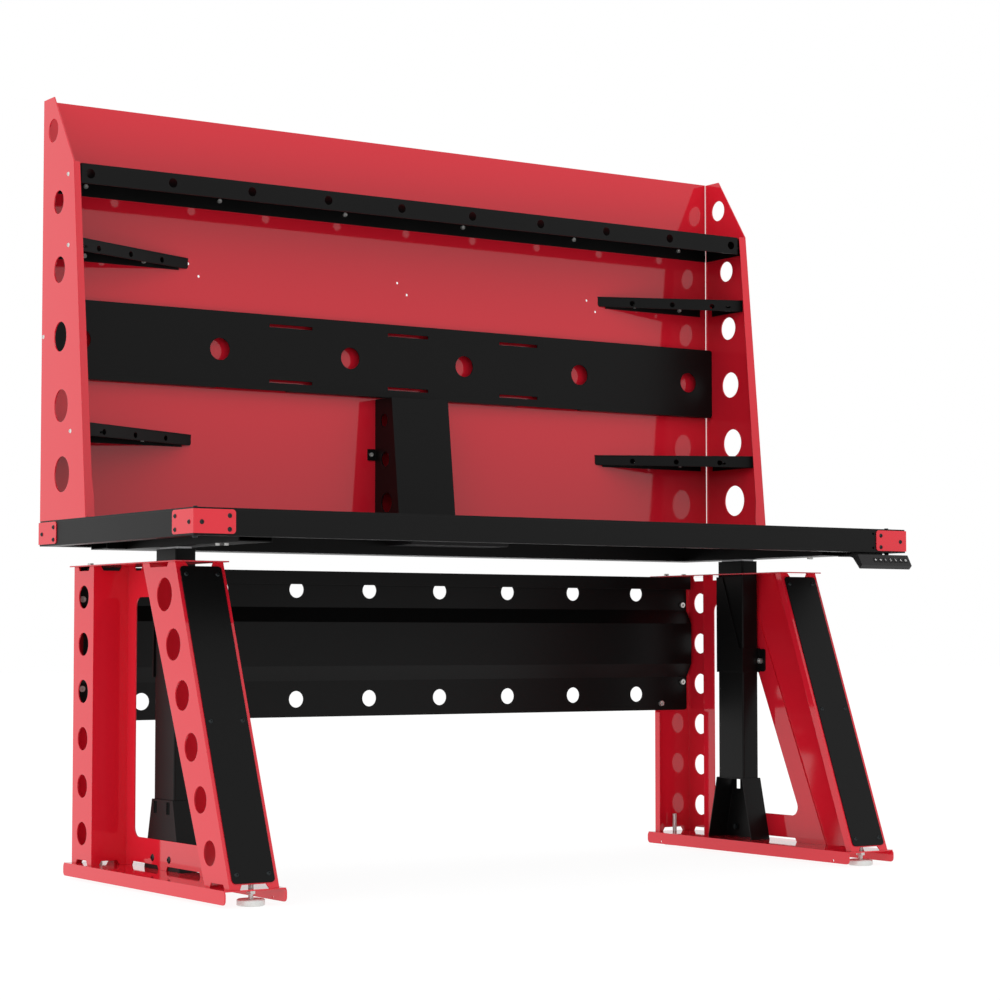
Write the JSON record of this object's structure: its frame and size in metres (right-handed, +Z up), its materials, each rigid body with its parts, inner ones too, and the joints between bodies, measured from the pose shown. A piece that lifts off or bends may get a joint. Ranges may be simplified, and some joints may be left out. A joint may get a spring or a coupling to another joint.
{
  "type": "height-adjustable workbench",
  "caption": "Steel workbench on two lifting columns, with end frames, modesty panel and a tall back unit with shelves and a perforated rail",
  "frame": {"origin": "middle of the footprint, on the floor", "axes": "+X along the worktop to the right, +Y towards the back, +Z up"},
  "size_m": [1.809, 0.748, 1.653],
  "materials": {
    "red": "gloss red powder coat",
    "black": "satin black powder coat",
    "worktop": "satin black steel plate",
    "black_tube": "satin black tube",
    "zinc": "bright zinc plate",
    "zinc_tube": "drawn steel",
    "dark_screws": "blackened steel",
    "feet": "matt zinc",
    "black_plastic": "fine textured black plastic",
    "keys": "soft black keys with white marks"
  },
  "bodies": {
    "stand": {"base_channel_left": "red", "base_channel_right": "red", "rear_post_left": "red", "rear_post_right": "red", "front_post_left": "red", "front_post_right": "red", "side_plate_left": "red", "side_plate_right": "red", "top_plate_left": "red", "top_plate_right": "red", "post_cover_left": "black", "post_cover_right": "black", "column_socket_left": "black", "column_socket_right": "black", "column_outer_left": "black_tube", "column_outer_right": "black_tube", "column_straps": "black", "modesty_panel": "black", "black_screws": "dark_screws", "frame_bolts": "zinc", "foot_nuts": "zinc"},
    "lift": {"column_inner_left": "zinc_tube", "column_inner_right": "zinc_tube", "spindle_left": "zinc_tube", "spindle_right": "zinc_tube", "side_arms": "black", "cross_beams": "black", "front_rail": "black", "rear_rail": "black", "end_rails": "black", "worktop_plate": "worktop", "corner_brackets": "red", "bracket_screws": "dark_screws", "motors": "black_plastic", "control_box": "black_plastic", "handset": "black_plastic", "back_panel": "red", "side_panel_left": "red", "side_panel_right": "red", "top_shelf": "black", "corner_shelf_upper_left": "black", "corner_shelf_upper_right": "black", "corner_shelf_lower_left": "black", "corner_shelf_lower_right": "black", "tool_rail": "black", "centre_post": "black", "upper_bolts": "zinc"},
    "column_middle_left": {"column_middle_left": "zinc_tube"},
    "column_middle_right": {"column_middle_right": "zinc_tube"},
    "foot_front_left": {"foot_front_left": "feet"},
    "foot_front_right": {"foot_front_right": "feet"},
    "foot_rear_left": {"foot_rear_left": "feet"},
    "foot_rear_right": {"foot_rear_right": "feet"},
    "key_up": {"key_up": "keys"},
    "key_down": {"key_down": "keys"},
    "key_1": {"key_1": "keys"},
    "key_2": {"key_2": "keys"},
    "key_3": {"key_3": "keys"},
    "key_4": {"key_4": "keys"},
    "key_memory": {"key_memory": "keys"}
  },
  "joints": [
    {"name": "lift", "type": "slide", "parent": "stand", "child": "lift", "axis": [0, 0, 1], "range_m": [0, 0.48]},
    {"name": "column_middle_left_slide", "type": "slide", "parent": "stand", "child": "column_middle_left", "axis": [0, 0, 1], "range_m": [0, 0.24]},
    {"name": "column_middle_right_slide", "type": "slide", "parent": "stand", "child": "column_middle_right", "axis": [0, 0, 1], "range_m": [0, 0.24]},
    {"name": "foot_front_left_screw", "type": "slide", "parent": "stand", "child": "foot_front_left", "axis": [0, 0, 1], "range_m": [-0.02, 0.004]},
    {"name": "foot_front_right_screw", "type": "slide", "parent": "stand", "child": "foot_front_right", "axis": [0, 0, 1], "range_m": [-0.02, 0.004]},
    {"name": "foot_rear_left_screw", "type": "slide", "parent": "stand", "child": "foot_rear_left", "axis": [0, 0, 1], "range_m": [-0.02, 0.004]},
    {"name": "foot_rear_right_screw", "type": "slide", "parent": "stand", "child": "foot_rear_right", "axis": [0, 0, 1], "range_m": [-0.02, 0.004]},
    {"name": "key_up_press", "type": "slide", "parent": "lift", "child": "key_up", "axis": [0, 0.866, -0.5], "range_m": [0, 0.001], "stiffness_N_per_m": 900, "springref_m": -0.0005},
    {"name": "key_down_press", "type": "slide", "parent": "lift", "child": "key_down", "axis": [0, 0.866, -0.5], "range_m": [0, 0.001], "stiffness_N_per_m": 900, "springref_m": -0.0005},
    {"name": "key_1_press", "type": "slide", "parent": "lift", "child": "key_1", "axis": [0, 0.866, -0.5], "range_m": [0, 0.001], "stiffness_N_per_m": 900, "springref_m": -0.0005},
    {"name": "key_2_press", "type": "slide", "parent": "lift", "child": "key_2", "axis": [0, 0.866, -0.5], "range_m": [0, 0.001], "stiffness_N_per_m": 900, "springref_m": -0.0005},
    {"name": "key_3_press", "type": "slide", "parent": "lift", "child": "key_3", "axis": [0, 0.866, -0.5], "range_m": [0, 0.001], "stiffness_N_per_m": 900, "springref_m": -0.0005},
    {"name": "key_4_press", "type": "slide", "parent": "lift", "child": "key_4", "axis": [0, 0.866, -0.5], "range_m": [0, 0.001], "stiffness_N_per_m": 900, "springref_m": -0.0005},
    {"name": "key_memory_press", "type": "slide", "parent": "lift", "child": "key_memory", "axis": [0, 0.866, -0.5], "range_m": [0, 0.001], "stiffness_N_per_m": 900, "springref_m": -0.0005}
  ],
  "couplings": [
    {"joint": "column_middle_left_slide", "follows": "lift", "ratio": 0.5},
    {"joint": "column_middle_right_slide", "follows": "lift", "ratio": 0.5}
  ]
}
